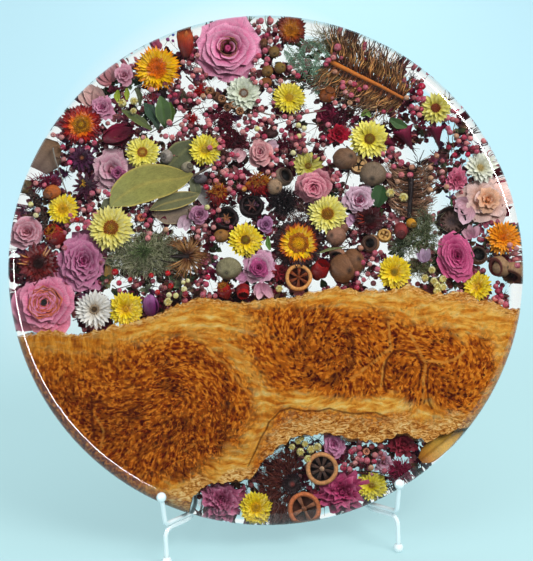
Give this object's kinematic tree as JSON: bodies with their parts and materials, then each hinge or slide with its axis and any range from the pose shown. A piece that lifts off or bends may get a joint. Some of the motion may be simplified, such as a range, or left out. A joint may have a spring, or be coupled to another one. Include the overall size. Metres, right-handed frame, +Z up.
{
  "type": "pressed flower resin disc on wire stand",
  "caption": "Round clear-resin disc with a live-edge burl wood slab and dried flowers and seed pods sealed in it, leaning on a white wire display stand.",
  "frame": {"origin": "on the table, under the middle of the bounding box", "axes": "+Z up; the decorated face looks towards -Y and leans back 17 degrees; +X to the right seen from the front"},
  "size_m": [0.5, 0.1924, 0.5032],
  "materials": {
    "clear_resin": "clear cast resin, polished, with dried flowers sealed in it",
    "burl_wood": "glossy burl, reddish brown heart and golden sapwood",
    "white_enamel": "glossy white enamel on steel wire"
  },
  "bodies": {
    "root": {"burl_slab": "burl_wood", "resin_upper": "clear_resin", "resin_lower": "clear_resin", "cradle_wire": "white_enamel", "left_leg_wire": "white_enamel", "right_leg_wire": "white_enamel", "hook_ball_left": "white_enamel", "hook_ball_right": "white_enamel", "foot_ball_front_left": "white_enamel", "foot_ball_front_right": "white_enamel", "foot_ball_rear_left": "white_enamel", "foot_ball_rear_right": "white_enamel"}
  },
  "joints": []
}
